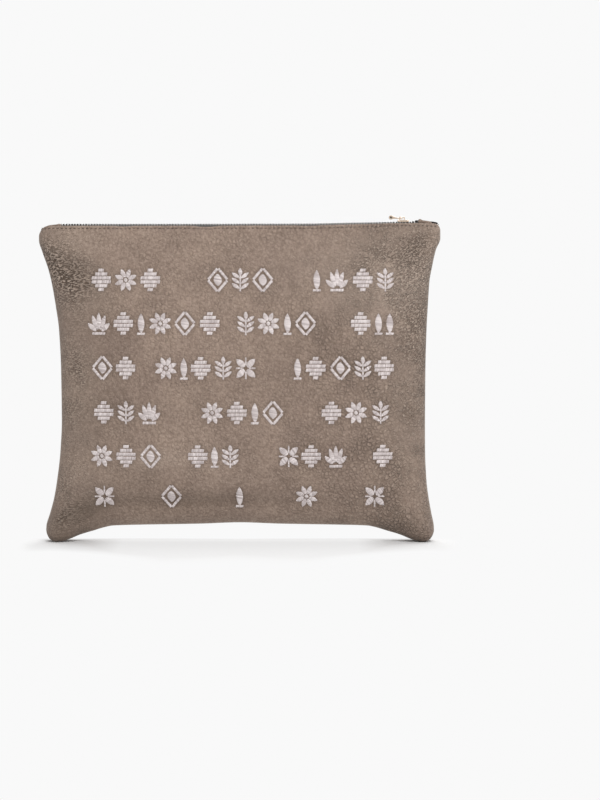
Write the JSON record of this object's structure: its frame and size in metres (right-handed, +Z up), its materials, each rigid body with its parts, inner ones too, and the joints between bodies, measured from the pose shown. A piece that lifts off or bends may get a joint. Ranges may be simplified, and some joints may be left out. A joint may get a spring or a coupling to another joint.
{
  "type": "tallit bag",
  "caption": "Zipped leather tallit bag, stuffed round, standing upright, with an embroidered front and a metal zip with a swinging pull.",
  "frame": {"origin": "on the floor under the middle of the bag", "axes": "+Z up, +X to the bag's right as seen from the front, the embroidered front faces -Y"},
  "size_m": [0.36, 0.0583, 0.2932],
  "materials": {
    "leather": "nubuck taupe leather, fine pebbled grain",
    "zip_tape": "woven dark brown tape",
    "zip_teeth": "bright silver metal",
    "slider_metal": "pale gold nickel",
    "embroidery": "pale satin stitch thread"
  },
  "bodies": {
    "bag": {"front_panel": "leather", "back_panel": "leather", "zip_tape_front": "zip_tape", "zip_tape_back": "zip_tape", "teeth_front": "zip_teeth", "teeth_back": "zip_teeth", "zip_end_left": "leather", "zip_end_right": "leather", "slider": "slider_metal"},
    "pull": {"pull_tab": "slider_metal"}
  },
  "joints": [
    {"name": "pull_swing", "type": "hinge", "parent": "bag", "child": "pull", "pos_m": [0.1455, 0, 0.29029], "axis": [0, 1, 0], "range_deg": [0, 165]}
  ]
}
